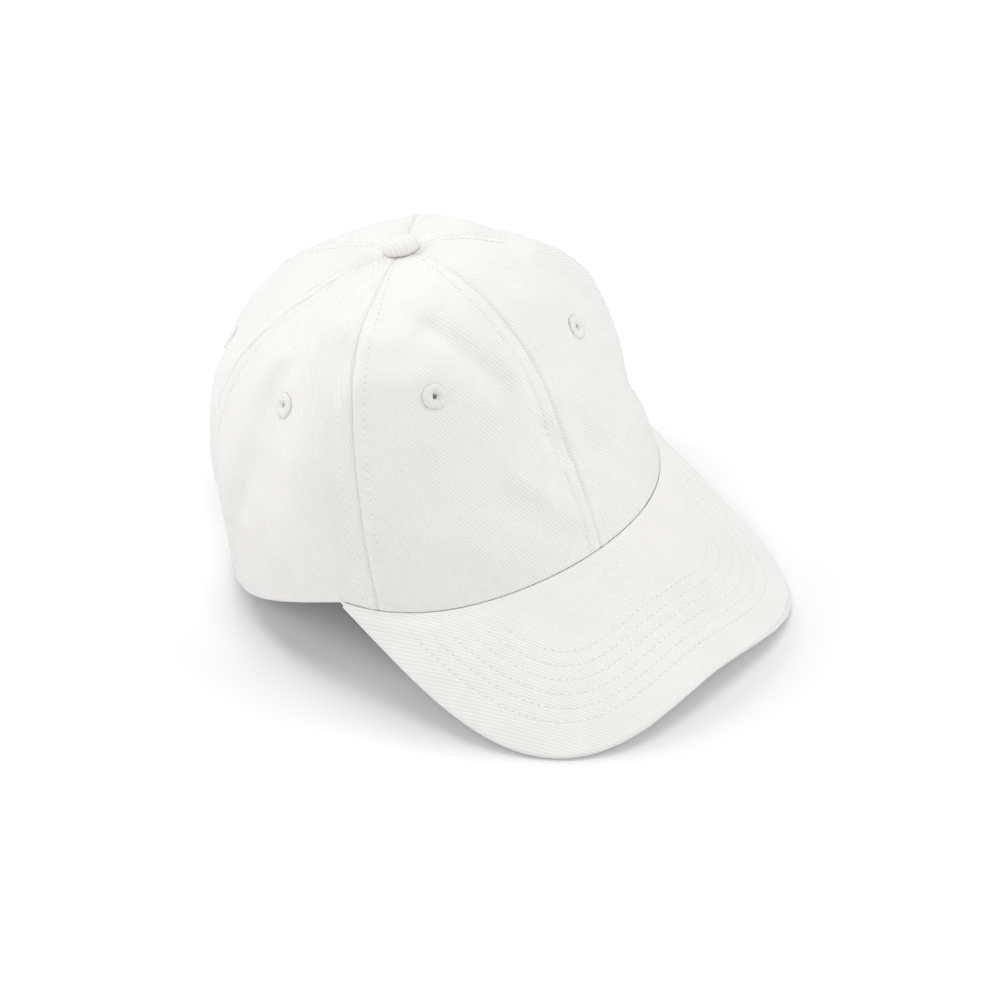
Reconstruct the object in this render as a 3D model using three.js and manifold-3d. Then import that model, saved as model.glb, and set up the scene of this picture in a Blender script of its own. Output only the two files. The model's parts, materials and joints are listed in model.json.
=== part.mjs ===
// Six-panel soft cotton cap with a curved visor and a cloth strap with a metal buckle at the back.
// Millimetres, +Z up, visor towards -Y, the wearer's right towards -X.
// The cap is drawn in its own frame, with the hem of the back on z = 0, then leaned back so
// that it rests on the back hem and on the two corners of the visor.
import * as THREE from "three";
import Module from "manifold-3d";

// ---- Crown ----
const HALF_WIDTH = 96; // hem, side to side
const FRONT = 85; // hem centre to the front
const BACK = 87.5; // hem centre to the back
const APEX = { y: -4, z: 119.5 };
const LEAN = 14.7; // degrees the cap leans back as it stands on a table
const PANEL = 1.2; // cloth with its seam allowance
const SEAM_GAP = 0.36;
const APEX_HOLE = 2.6;
const FRONT_SEAM = 62; // degrees round the hem from the front
const BACK_SEAM = 121;
// Shape of a panel from hem to apex, for the front, the side and the back.
const RISE = { front: 0.36, side: 0.435, back: 0.655 };
const BELLY = { front: -0.062, side: -0.017, back: 0.015 };
const SHOULDER = { front: 0.912, side: 0.954, back: 0.976 };

// ---- Visor ----
const VISOR_HALF_ANGLE = 70.4; // part of the hem that carries the visor
const VISOR_LENGTH = 109;
const VISOR_SQUARENESS = 3.18; // 2 is an ellipse, more is squarer
const VISOR_BEND_R = 126.4;
const VISOR_DROP = 0.857; // mm down for each mm forward
const VISOR_ROOT_Z = 1.6;
const VISOR_CLOTH = 0.6;
const VISOR_BOARD = 1.6;
const VISOR_PLY_GAP = 0.3;
const HEM_GAP = 0.5;

// ---- Trim ----
const EYELET = { r: 4.2, hole: 1.1, over: 0.5, under: 0.5, gap: 0.35 };
const BUTTON_R = 7.5;
const TAPE = { width: 12, t: 0.5, depth: 1.8, topRadius: 12.6, bottom: 4 };
const SWEATBAND = { bottom: 1.5, top: 33, t: 1.2, depthFront: 2.7, depthBack: 5.4 };
const LABEL = { from: 126, to: 140, bottom: 8, top: 26, t: 0.4 };

// ---- Back closure ----
const OPENING = { halfAngle: 27, height: 46 };
const BINDING = { leg: 6, t: 0.6, gap: 0.3 };
const BACK_R = (HALF_WIDTH * HALF_WIDTH) / BACK; // radius of the hem at the back
const STRAP_R = BACK_R - 3.8; // outer face of the strap
const STRAP = { t: 1, bottom: 3.5, top: 22.5, fixedEnd: -40, freeEnd: 36 };
const BUCKLE_ANGLE = 9; // degrees from the back centre to the wearer's right
const FRAME = { from: -9, to: 12, t: 0.8, bottom: 2.3, top: 23.7, clear: 0.35 };
const PIN = { x: 10.2, r: 0.65, hole: 0.74, out: 2.1 };
const TAB = { t: 0.7, reach: 38 };

const RAD = Math.PI / 180;
const vec = (x, y, z) => new THREE.Vector3(x, y, z);
const mix = (a, b, t) => a + (b - a) * t;
const ease = (t) => {
  const c = Math.min(Math.max(t, 0), 1);
  return c * c * (3 - 2 * c);
};

// ---- Solids ----
function geometryOf(points, faces) {
  const g = new THREE.BufferGeometry();
  g.setAttribute("position", new THREE.Float32BufferAttribute(points.flatMap((p) => p.toArray()), 3));
  g.setIndex(faces.flat());
  if (signedVolume(points, faces) < 0) g.setIndex(faces.flatMap(([a, b, c]) => [a, c, b]));
  g.computeVertexNormals();
  return g;
}

function signedVolume(points, faces) {
  let sum = 0;
  for (const [a, b, c] of faces) sum += points[a].dot(vec(0, 0, 0).crossVectors(points[b], points[c]));
  return sum / 6;
}

// A curved slab between two skins. skin(u, v, side) gives the outer skin at side 0 and the
// inner one at side 1, for u and v from 0 to 1.
function slab(skin, us, vs) {
  const [nu, nv] = [us.length, vs.length];
  const points = [];
  for (const side of [0, 1]) for (const u of us) for (const v of vs) points.push(skin(u, v, side));
  const at = (i, j, side) => side * nu * nv + i * nv + j;
  const faces = [];
  const quad = (a, b, c, d) => faces.push([a, b, c], [a, c, d]);
  for (let i = 0; i < nu - 1; i++)
    for (let j = 0; j < nv - 1; j++) {
      quad(at(i, j, 0), at(i + 1, j, 0), at(i + 1, j + 1, 0), at(i, j + 1, 0));
      quad(at(i, j, 1), at(i, j + 1, 1), at(i + 1, j + 1, 1), at(i + 1, j, 1));
    }
  for (let i = 0; i < nu - 1; i++) {
    quad(at(i, 0, 1), at(i + 1, 0, 1), at(i + 1, 0, 0), at(i, 0, 0));
    quad(at(i, nv - 1, 0), at(i + 1, nv - 1, 0), at(i + 1, nv - 1, 1), at(i, nv - 1, 1));
  }
  for (let j = 0; j < nv - 1; j++) {
    quad(at(0, j, 0), at(0, j + 1, 0), at(0, j + 1, 1), at(0, j, 1));
    quad(at(nu - 1, j, 1), at(nu - 1, j + 1, 1), at(nu - 1, j + 1, 0), at(nu - 1, j, 0));
  }
  return geometryOf(points, faces);
}

const clockwise = (flat, face) => THREE.ShapeUtils.isClockWise(face.map((i) => flat[i]));

// Joins equal rings of points into a solid. section is the ring's flat outline, for the caps.
function loft(rings, section) {
  const n = section.length;
  const points = rings.flat();
  const faces = [];
  for (let i = 0; i < rings.length - 1; i++)
    for (let k = 0; k < n; k++) {
      const [a, b] = [i * n + k, i * n + ((k + 1) % n)];
      faces.push([a, b, b + n], [a, b + n, a + n]);
    }
  const last = (rings.length - 1) * n;
  const flat = section.map(([x, y]) => new THREE.Vector2(x, y));
  for (const face of THREE.ShapeUtils.triangulateShape(flat, [])) {
    const [a, b, c] = THREE.ShapeUtils.isClockWise(flat) === clockwise(flat, face) ? face : face.reverse();
    faces.push([a, c, b]);
    faces.push([last + a, last + b, last + c]);
  }
  return geometryOf(points, faces);
}

const even = (n) => Array.from({ length: n + 1 }, (_, i) => i / n);
// Stations that crowd towards both ends.
const crowded = (n) => even(n).map((t) => (1 - Math.cos(t * Math.PI)) / 2);

function lathe(profile, segments) {
  const g = new THREE.LatheGeometry(profile.map(([r, z]) => new THREE.Vector2(r, z)), segments);
  return g.rotateX(Math.PI / 2);
}

const manifold = await Module();
manifold.setup();

function toManifold(geometry) {
  const g = geometry.index ? geometry.toNonIndexed() : geometry;
  const mesh = new manifold.Mesh({
    numProp: 3,
    vertProperties: new Float32Array(g.getAttribute("position").array),
    triVerts: Uint32Array.from({ length: g.getAttribute("position").count }, (_, i) => i),
  });
  mesh.merge();
  return new manifold.Manifold(mesh);
}

function fromManifold(solid) {
  const mesh = solid.getMesh();
  const g = new THREE.BufferGeometry();
  g.setAttribute("position", new THREE.BufferAttribute(mesh.vertProperties, 3));
  g.setIndex(new THREE.BufferAttribute(mesh.triVerts, 1));
  g.computeVertexNormals();
  return g;
}

const cut = (body, tools) =>
  fromManifold(tools.reduce((solid, tool) => solid.subtract(toManifold(tool)), toManifold(body)));
const join = (bodies) =>
  fromManifold(bodies.map(toManifold).reduce((solid, body) => solid.add(body)));

// ---- Surfaces of the cap ----
// Angles run round the hem in degrees: 0 is the front, positive towards the wearer's left.
function blend(angle, set) {
  const c = Math.cos(angle * RAD);
  const front = Math.max(c, 0) ** 2;
  const back = Math.max(-c, 0) ** 2;
  return set.front * front + set.back * back + set.side * (1 - front - back);
}

function visorZ(x, y) {
  const bend = VISOR_BEND_R - Math.sqrt(VISOR_BEND_R ** 2 - x * x);
  return VISOR_ROOT_Z - bend + VISOR_DROP * (y + FRONT);
}

function hem(angle) {
  const length = Math.cos(angle * RAD) > 0 ? FRONT : BACK;
  const x = HALF_WIDTH * Math.sin(angle * RAD);
  const y = -length * Math.cos(angle * RAD);
  const away = Math.abs(((angle + 540) % 360) - 180) - VISOR_HALF_ANGLE;
  if (away <= 0) return vec(x, y, visorZ(x, y));
  const cornerX = HALF_WIDTH * Math.sin(VISOR_HALF_ANGLE * RAD);
  const corner = visorZ(cornerX, -FRONT * Math.cos(VISOR_HALF_ANGLE * RAD));
  return vec(x, y, corner * (1 - ease(away / 60)));
}

// Outer face of the crown, from the hem at v = 0 to the apex at v = 1.
function crown(angle, v) {
  const base = hem(angle);
  const u = 1 - v;
  const belly = 1 + blend(angle, BELLY);
  const out = u ** 3 + 3 * u * u * v * belly + 3 * u * v * v * blend(angle, SHOULDER);
  const up = 3 * u * u * v * blend(angle, RISE) + 3 * u * v * v + v ** 3;
  return vec(base.x * out, mix(APEX.y, base.y, out), mix(base.z, APEX.z, up));
}

function crownNormal(angle, v) {
  const e = 0.002;
  const along = crown(angle + 0.4, v).sub(crown(angle - 0.4, v));
  const rising = crown(angle, Math.min(v + e, 1)).sub(crown(angle, Math.max(v - e, 0)));
  return along.cross(rising).normalize();
}

const under = (angle, v, depth) => crown(angle, v).addScaledVector(crownNormal(angle, v), -depth);

// The v that lies a given distance up the cloth from the hem.
function climb(angle, distance) {
  let v = 0;
  let left = distance;
  let from = crown(angle, 0);
  for (const step = 0.004; left > 0 && v < 1; v += step) {
    const to = crown(angle, v + step);
    const run = to.distanceTo(from);
    if (run > left) return v + (step * left) / run;
    left -= run;
    from = to;
  }
  return v;
}

// The v at a given distance from the apex.
function nearApex(angle, radius) {
  let [low, high] = [0.5, 1];
  for (let i = 0; i < 30; i++) {
    const mid = (low + high) / 2;
    const p = crown(angle, mid);
    if (Math.hypot(p.x, p.y - APEX.y) > radius) low = mid;
    else high = mid;
  }
  return high;
}

const degreesFor = (angle, v, mm) => mm / (crown(angle + 0.5, v).distanceTo(crown(angle - 0.5, v)));

// Lower edge of the cloth: the hem, or the arch of the back opening.
function archHeight(angle) {
  const off = Math.abs(angle - 180) / OPENING.halfAngle;
  return off < 1 ? OPENING.height * Math.sqrt(1 - off * off) : 0;
}
const lowerEdge = (angle) => climb(angle, archHeight(angle));

// ---- Crown pieces ----
function panel(from, to) {
  const opens = from > 120;
  const edge = (180 - OPENING.halfAngle - from) / (to - from);
  const us = opens
    ? [...even(4).map((t) => t * edge), ...crowded(11).slice(1).map((t) => mix(edge, 1, t))]
    : even(9);
  return slab(
    (u, t, side) => {
      const middle = mix(from, to, u);
      const v = mix(lowerEdge(middle), nearApex(middle, APEX_HOLE), t);
      const gap = degreesFor(middle, v, SEAM_GAP / 2);
      const angle = mix(from + gap, to - gap, u);
      return under(angle, v, side * PANEL);
    },
    us,
    even(13),
  );
}

function facingOut(object, angle, v) {
  object.position.copy(crown(angle, v));
  object.quaternion.setFromUnitVectors(vec(0, 0, 1), crownNormal(angle, v));
  object.updateMatrix();
  return object;
}

function eyeletHole({ angle, v }) {
  const tool = new THREE.CylinderGeometry(EYELET.r + EYELET.gap, EYELET.r + EYELET.gap, 12, 20);
  const place = facingOut(new THREE.Object3D(), angle, v);
  return tool.rotateX(Math.PI / 2).applyMatrix4(place.matrix);
}

function eyeletRing() {
  const { r, hole, over } = EYELET;
  const low = -PANEL - EYELET.under;
  const profile = [
    [hole, low + 0.3], [hole + 0.4, low], [r - 0.5, low], [r, low + 0.4],
    [r, over - 0.3], [r - 0.6, over], [hole + 0.6, over], [hole, over - 0.5], [hole, low + 0.3],
  ];
  return lathe(profile, 16);
}

function seamTape(angle) {
  const bottom = angle === 180 ? climb(180, OPENING.height + BINDING.leg + 2) : climb(angle, TAPE.bottom);
  const top = nearApex(angle, TAPE.topRadius);
  return slab(
    (u, t, side) => {
      const v = mix(bottom, top, t);
      const off = degreesFor(angle, v, TAPE.width) * (u - 0.5);
      return under(angle + off, v, TAPE.depth + side * TAPE.t);
    },
    even(2),
    even(13),
  );
}

// ---- Button at the apex, in the apex's own frame ----
function buttonShell() {
  const r = BUTTON_R;
  return lathe(
    [[0, 2.3], [1.8, 2.3], [1.8, 0.4], [r - 0.6, 0.4], [r, 1.1], [r - 0.2, 2.3],
      [r - 1.3, 3.7], [r - 3.2, 4.8], [r - 5.4, 5.3], [0, 5.5]],
    28,
  );
}

function buttonRivet() {
  return lathe([[0, -2.6], [5.6, -2.6], [6, -2.3], [6, -1.8], [1.4, -1.8], [1.4, 1.9], [0, 1.9]], 20);
}

// ---- Visor ----
function visorPoint(u, w, gap = HEM_GAP) {
  const side = Math.sin(u * VISOR_HALF_ANGLE * RAD);
  const ahead = Math.cos(u * VISOR_HALF_ANGLE * RAD);
  const inner = [(HALF_WIDTH + gap) * side, -(FRONT + gap) * ahead];
  const power = 2 / VISOR_SQUARENESS;
  const [sin, cos] = [Math.sin((u * Math.PI) / 2), Math.cos((u * Math.PI) / 2)];
  const cornerX = (HALF_WIDTH + gap) * Math.sin(VISOR_HALF_ANGLE * RAD);
  const cornerY = -(FRONT + gap) * Math.cos(VISOR_HALF_ANGLE * RAD);
  const outer = [
    cornerX * Math.sign(sin) * Math.abs(sin) ** power,
    cornerY - VISOR_LENGTH * Math.abs(cos) ** power,
  ];
  const [x, y] = [mix(inner[0], outer[0], w), mix(inner[1], outer[1], w)];
  return vec(x, y, visorZ(x, y));
}

function visorNormal(x, y) {
  const bendSlope = x / Math.sqrt(VISOR_BEND_R ** 2 - x * x);
  return vec(bendSlope, -VISOR_DROP, 1).normalize();
}

// Stations across the visor, close together where its edge turns back to the hem.
const VISOR_STATIONS = even(32).map((t) => 0.993 * Math.sin((2 * t - 1) * (Math.PI / 2)));

// One ply of the visor. Its section is a list of [share of the way from hem to rim, inset from
// the rim, depth].
function visorPly(section) {
  const rings = VISOR_STATIONS.map((u) => {
    const length = visorPoint(u, 0).distanceTo(visorPoint(u, 1));
    return section.map(([share, inset, depth]) => {
      const p = visorPoint(u, share * (1 - inset / Math.max(length, 2.5)));
      return p.addScaledVector(visorNormal(p.x, p.y), -depth);
    });
  });
  return loft(rings, section.map(([share, inset, depth]) => [share * (100 - inset), depth]));
}

// A run of section points along one face of a ply.
const along = (shares, inset, depth) => shares.map((share) => [share, inset, depth]);
const HEM_TO_RIM = [0, 0.3, 0.55, 0.8];
const RIM_TO_HEM = HEM_TO_RIM.toReversed();

const BOARD_TOP = VISOR_CLOTH + VISOR_PLY_GAP;
const BOARD_LOW = BOARD_TOP + VISOR_BOARD;
const VISOR_T = BOARD_LOW + VISOR_PLY_GAP + VISOR_CLOTH;
const RIM_SEAM = VISOR_T / 2;

function visorCover(low) {
  const fold = low ? -1 : 1;
  const face = low ? VISOR_T : 0;
  const back = face + fold * VISOR_CLOTH;
  const lip = RIM_SEAM - fold * 0.15;
  return visorPly([
    ...along([...HEM_TO_RIM, 1], 0.3, face), [1, 0, face + fold * 0.3], [1, 0, lip],
    [1, VISOR_CLOTH, lip], ...along([1, ...RIM_TO_HEM], VISOR_CLOTH, back),
  ]);
}

const visorBoard = () =>
  visorPly([...along([...HEM_TO_RIM, 1], 0.95, BOARD_TOP), ...along([1, ...RIM_TO_HEM], 0.95, BOARD_LOW)]);

// ---- Sweatband and label ----
function bandDepth(angle) {
  const round = Math.abs(((angle + 540) % 360) - 180);
  return mix(SWEATBAND.depthFront, SWEATBAND.depthBack, ease((round - 98) / 32));
}

function sweatband() {
  const reach = 180 - OPENING.halfAngle - 0.5;
  return slab(
    (u, t, side) => {
      const angle = mix(-reach, reach, u);
      const v = climb(angle, mix(SWEATBAND.bottom, SWEATBAND.top, t));
      return under(angle, v, bandDepth(angle) + side * SWEATBAND.t);
    },
    even(48),
    even(3),
  );
}

function careLabel() {
  return slab(
    (u, t, side) => {
      const angle = mix(LABEL.from, LABEL.to, u);
      const v = climb(angle, mix(LABEL.bottom, LABEL.top, t));
      return under(angle, v, bandDepth(angle) + SWEATBAND.t + 0.3 + side * LABEL.t);
    },
    even(4),
    even(3),
  );
}

// ---- Back closure ----
// A folded strip of cloth over the arched edge of the opening.
function binding() {
  const { leg, t, gap } = BINDING;
  const outline = [[-gap - t, -gap - t], [leg, -gap - t], [leg, -gap], [-gap, -gap],
    [-gap, PANEL + gap], [leg, PANEL + gap], [leg, PANEL + gap + t], [-gap - t, PANEL + gap + t]];
  const rings = crowded(32).map((s) => {
    const turn = mix(4, 176, s) * RAD;
    const edge = [OPENING.halfAngle * Math.cos(turn), OPENING.height * Math.sin(turn)];
    const perDegree = (HALF_WIDTH + BACK) * 0.5 * RAD;
    const outward = vec(Math.cos(turn) * OPENING.height, Math.sin(turn) * OPENING.halfAngle * perDegree, 0);
    outward.normalize();
    return outline.map(([away, depth]) => {
      const angle = 180 - edge[0] - (outward.x * away) / perDegree;
      const v = climb(angle, edge[1] + outward.y * away);
      return under(angle, v, depth);
    });
  });
  return loft(rings, outline);
}

// Outlines in the closure are given as [distance round the back, radius] and follow the hem's
// curve; positive distances run to the wearer's left.
function bentOutline(points) {
  const bent = [];
  points.forEach(([x, r], i) => {
    const [nextX, nextR] = points[(i + 1) % points.length];
    const steps = Math.max(1, Math.round(Math.abs(nextX - x) / 4));
    for (let k = 0; k < steps; k++) {
      const turn = mix(x, nextX, k / steps) / STRAP_R;
      const radius = mix(r, nextR, k / steps);
      bent.push(new THREE.Vector2(radius * Math.sin(turn), radius * Math.cos(turn)));
    }
  });
  return bent;
}

function bentBar(points, bottom, top, holes = []) {
  const shape = new THREE.Shape(bentOutline(points));
  for (const hole of holes) shape.holes.push(new THREE.Path(bentOutline(hole)));
  const g = new THREE.ExtrudeGeometry(shape, { depth: top - bottom, bevelEnabled: false });
  return g.translate(0, 0, bottom);
}

const box = (x0, x1, r0, r1) => [[x0, r0], [x1, r0], [x1, r1], [x0, r1]];

function strap() {
  const arc = (degrees) => -degrees * RAD * STRAP_R;
  const outline = box(arc(STRAP.freeEnd), arc(STRAP.fixedEnd), STRAP_R - STRAP.t, STRAP_R);
  return bentBar(outline, STRAP.bottom, STRAP.top);
}

const pinPlace = () => vec(PIN.x, STRAP_R + PIN.out, 0);
const rod = (r, bottom, top) =>
  new THREE.CylinderGeometry(r, r, top - bottom, 16)
    .rotateX(Math.PI / 2)
    .translate(0, 0, (bottom + top) / 2);

function buckleFrame() {
  const { from, to, t, bottom, top, clear } = FRAME;
  const floor = STRAP_R - STRAP.t - clear;
  const wall = box(from - 4.5, to, floor - t, STRAP_R + 3.1);
  const solid = join([
    bentBar(box(from, to, floor - t, floor), bottom, top),
    bentBar(wall, bottom, bottom + t),
    bentBar(wall, top - t, top),
    bentBar(box(from - 4.5, from - 3, STRAP_R + 1.4, STRAP_R + 2.6), bottom, top),
  ]);
  const { x, y } = pinPlace();
  return cut(solid, [rod(PIN.hole, bottom - 1, top + 1).translate(x, y, 0)]);
}

function buckleLever() {
  const [bottom, top] = [FRAME.bottom + 1.2, FRAME.top - 1.2];
  const { x, y } = pinPlace();
  const flap = box(FRAME.from - 1, PIN.x - 0.6, STRAP_R + 1.7, STRAP_R + 2.5);
  const lip = box(FRAME.from - 1.4, FRAME.from - 0.4, STRAP_R + 1.7, STRAP_R + 3.6);
  const solid = join([
    bentBar(flap, bottom, top),
    bentBar(lip, bottom + 3, top - 3),
    rod(1.5, bottom, top).translate(x, y, 0),
  ]);
  return cut(solid, [rod(PIN.hole, bottom - 1, top + 1).translate(x, y, 0)]);
}

function buckleTab() {
  const bar = [FRAME.from - 4.5, FRAME.from - 3];
  const inner = STRAP_R + 0.4;
  const { t } = TAB;
  const outline = [[-TAB.reach, inner], [bar[1] + 0.4 + t, inner], [bar[1] + 0.4 + t, inner + 1.8 + 2 * t],
    [bar[0] - 0.6 - t, inner + 1.8 + 2 * t], [bar[0] - 3.5, inner + t], [-TAB.reach, inner + t]];
  const hole = box(bar[0] - 0.4, bar[1] + 0.4, inner + t, inner + 1.8 + t);
  return bentBar(outline, STRAP.bottom + 0.2, STRAP.top - 0.2, [hole]);
}

// ---- Assembly ----
const cloth = new THREE.MeshStandardMaterial({ color: 0xf3f1ec, roughness: 0.95 });
const trim = new THREE.MeshStandardMaterial({ color: 0xf7f5f0, roughness: 0.9 });
const boardStuff = new THREE.MeshStandardMaterial({ color: 0xe9e9e6, roughness: 0.6 });
const brass = new THREE.MeshStandardMaterial({ color: 0x9a8256, metalness: 0.9, roughness: 0.4 });
const steel = new THREE.MeshStandardMaterial({ color: 0xb5b5b5, metalness: 0.9, roughness: 0.35 });

function mesh(name, geometry, material) {
  const m = new THREE.Mesh(geometry, material);
  m.name = name;
  return m;
}

const cap = new THREE.Group();
const PANELS = [
  ["front", 0, FRONT_SEAM, { angle: { right: 35.7, left: 26 }, v: { right: 0.558, left: 0.53 } }],
  ["side", FRONT_SEAM, BACK_SEAM, { angle: { right: 90, left: 90 }, v: { right: 0.558, left: 0.558 } }],
  ["back", BACK_SEAM, 180, { angle: { right: 146, left: 146 }, v: { right: 0.56, left: 0.56 } }],
];
for (const [side, sign] of [["right", -1], ["left", 1]])
  for (const [place, from, to, eyelet] of PANELS) {
    const spot = { angle: eyelet.angle[side], v: eyelet.v[side] };
    const half = cut(panel(from, to), [eyeletHole(spot)]);
    const ring = facingOut(mesh(`eyelet_${place}_${side}`, eyeletRing(), trim), spot.angle, spot.v);
    if (sign < 0) {
      ring.position.x *= -1;
      ring.quaternion.set(ring.quaternion.x, -ring.quaternion.y, -ring.quaternion.z, ring.quaternion.w);
      half.scale(-1, 1, 1);
      half.setIndex(Array.from(half.index.array).reverse());
      half.computeVertexNormals();
    }
    cap.add(mesh(`crown_panel_${place}_${side}`, half, cloth), ring);
  }

const TAPES = { front: 0, front_left: FRONT_SEAM, back_left: BACK_SEAM, back: 180,
  back_right: 360 - BACK_SEAM, front_right: 360 - FRONT_SEAM };
for (const [name, angle] of Object.entries(TAPES)) cap.add(mesh(`seam_tape_${name}`, seamTape(angle), trim));

const apex = new THREE.Group();
apex.position.set(0, APEX.y, APEX.z);
apex.add(mesh("top_button", buttonShell(), cloth), mesh("top_button_rivet", buttonRivet(), steel));

const closure = new THREE.Group();
closure.position.set(0, BACK - BACK_R, 0);
closure.add(mesh("strap", strap(), cloth));
const buckle = new THREE.Group();
buckle.rotation.z = BUCKLE_ANGLE * RAD;
const pin = mesh("buckle_pin", rod(PIN.r, FRAME.bottom, FRAME.top), steel);
pin.position.copy(pinPlace());
buckle.add(
  mesh("buckle_frame", buckleFrame(), brass),
  mesh("buckle_lever", buckleLever(), brass),
  mesh("buckle_tab", buckleTab(), cloth),
  pin,
);
closure.add(buckle);

cap.add(
  apex,
  closure,
  mesh("visor_top_cover", visorCover(false), cloth),
  mesh("visor_board", visorBoard(), boardStuff),
  mesh("visor_under_cover", visorCover(true), cloth),
  mesh("sweatband", sweatband(), cloth),
  mesh("care_label", careLabel(), trim),
  mesh("opening_binding", binding(), cloth),
);

cap.rotation.x = -LEAN * RAD;
const root = new THREE.Group();
root.add(cap);
root.updateMatrixWorld(true);
const bounds = new THREE.Box3().setFromObject(root, true);
cap.position.set(0, -(bounds.min.y + bounds.max.y) / 2, -bounds.min.z);

export default root;
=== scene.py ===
# Six-panel soft cotton cap with a curved visor and a cloth strap with a metal buckle.
# Shapes are worked out in millimetres in the cap's own frame, then placed in the row frame.
import json
import math

import bpy
import numpy as np
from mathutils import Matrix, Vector

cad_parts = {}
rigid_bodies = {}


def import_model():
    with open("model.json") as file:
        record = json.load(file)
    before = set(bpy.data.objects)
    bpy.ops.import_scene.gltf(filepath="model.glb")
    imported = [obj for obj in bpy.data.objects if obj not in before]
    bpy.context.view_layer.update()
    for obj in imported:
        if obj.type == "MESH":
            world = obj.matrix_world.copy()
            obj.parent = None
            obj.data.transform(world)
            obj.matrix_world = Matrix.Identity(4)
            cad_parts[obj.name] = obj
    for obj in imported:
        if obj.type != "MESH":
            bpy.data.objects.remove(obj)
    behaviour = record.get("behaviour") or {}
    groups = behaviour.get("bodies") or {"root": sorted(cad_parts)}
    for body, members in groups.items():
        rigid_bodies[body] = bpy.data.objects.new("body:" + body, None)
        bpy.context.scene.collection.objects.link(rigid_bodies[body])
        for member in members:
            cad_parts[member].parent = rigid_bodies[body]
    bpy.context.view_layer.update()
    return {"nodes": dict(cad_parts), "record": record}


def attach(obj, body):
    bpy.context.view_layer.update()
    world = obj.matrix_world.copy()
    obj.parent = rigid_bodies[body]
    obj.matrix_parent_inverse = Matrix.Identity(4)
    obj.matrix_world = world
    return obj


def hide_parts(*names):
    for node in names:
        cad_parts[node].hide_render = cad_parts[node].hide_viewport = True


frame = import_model()

RAD = math.pi / 180
HALF_WIDTH, FRONT, BACK = 96.0, 85.0, 87.5
APEX_Y, APEX_Z = -4.0, 119.5
LEAN = 14.7 * RAD
PANEL = 1.2
RISE = (0.36, 0.435, 0.655)
BELLY = (-0.062, -0.017, 0.015)
SHOULDER = (0.912, 0.954, 0.976)
HALF_VISOR = 70.4
VISOR_LENGTH, SQUARENESS, BEND_R, DROP, ROOT_Z = 109.0, 3.18, 126.4, 0.857, 1.6
OPEN_ANGLE, OPEN_HEIGHT = 27.0, 46.0
BACK_R = HALF_WIDTH ** 2 / BACK
STRAP_R = BACK_R - 3.8
BUCKLE_TURN = 9 * RAD

hinge = [j for j in frame["record"]["behaviour"]["joints"] if j["name"] == "strap_slide"][0]
HUB = np.array(hinge["pos_m"], float)
COS, SIN = math.cos(LEAN), math.sin(LEAN)


def to_row(p):
    """Cap frame in millimetres to the row frame in metres."""
    p = np.asarray(p, float)
    x, y, z = p[..., 0], p[..., 1] - (BACK - BACK_R), p[..., 2]
    return np.stack([x, y * COS + z * SIN, -y * SIN + z * COS], -1) * 0.001 + HUB


def ease(t):
    t = np.clip(t, 0, 1)
    return t * t * (3 - 2 * t)


def unit(v):
    return v / np.maximum(np.linalg.norm(v, axis=-1, keepdims=True), 1e-12)


# ---- Seeded value noise in space ----
LATTICE = np.random.default_rng(41).uniform(-1, 1, (32, 32, 32))


def noise(p, size, shift=0.0):
    q = np.asarray(p, float) / size + shift + 100.37
    i = np.floor(q).astype(int)
    f = q - i
    f = f * f * (3 - 2 * f)
    out = 0.0
    for a in (0, 1):
        for b in (0, 1):
            for c in (0, 1):
                w = 1
                for k, far in enumerate((a, b, c)):
                    w = w * (f[..., k] if far else 1 - f[..., k])
                out = out + w * LATTICE[(i[..., 0] + a) % 32, (i[..., 1] + b) % 32, (i[..., 2] + c) % 32]
    return out


# ---- Crown surface ----
def wrap(th):
    return (np.asarray(th, float) + 540) % 360 - 180


def visor_z(x, y):
    return ROOT_Z - (BEND_R - np.sqrt(BEND_R ** 2 - x * x)) + DROP * (y + FRONT)


CORNER_X = HALF_WIDTH * math.sin(HALF_VISOR * RAD)
CORNER_Z = float(visor_z(CORNER_X, -FRONT * math.cos(HALF_VISOR * RAD)))


def crown(th, v):
    th, v = np.broadcast_arrays(np.asarray(th, float), np.asarray(v, float))
    s, c = np.sin(th * RAD), np.cos(th * RAD)
    x, y = HALF_WIDTH * s, -np.where(c > 0, FRONT, BACK) * c
    away = np.abs(wrap(th)) - HALF_VISOR
    z = np.where(away <= 0, visor_z(np.clip(x, -95.9, 95.9), y), CORNER_Z * (1 - ease(away / 60)))
    f, b = np.maximum(c, 0) ** 2, np.maximum(-c, 0) ** 2
    k = lambda t: t[0] * f + t[2] * b + t[1] * (1 - f - b)
    u = 1 - v
    out = u ** 3 + 3 * u * u * v * (1 + k(BELLY)) + 3 * u * v * v * k(SHOULDER)
    up = 3 * u * u * v * k(RISE) + 3 * u * v * v + v ** 3
    return np.stack([x * out, APEX_Y + (y - APEX_Y) * out, z + (APEX_Z - z) * up], -1)


def crown_normal(th, v):
    e = 0.002
    v = np.clip(v, 0, 0.985)
    along = crown(th + 0.4, v) - crown(th - 0.4, v)
    rising = crown(th, v + e) - crown(th, np.maximum(v - e, 0))
    return unit(np.cross(along, rising))


TH_GRID = np.arange(-181, 182, 1.0)
V_GRID = np.linspace(0, 1, 401)
_P = crown(TH_GRID[:, None], V_GRID[None])
ARC = np.concatenate([np.zeros((len(TH_GRID), 1)), np.cumsum(np.linalg.norm(np.diff(_P, axis=1), axis=-1), 1)], 1)


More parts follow.
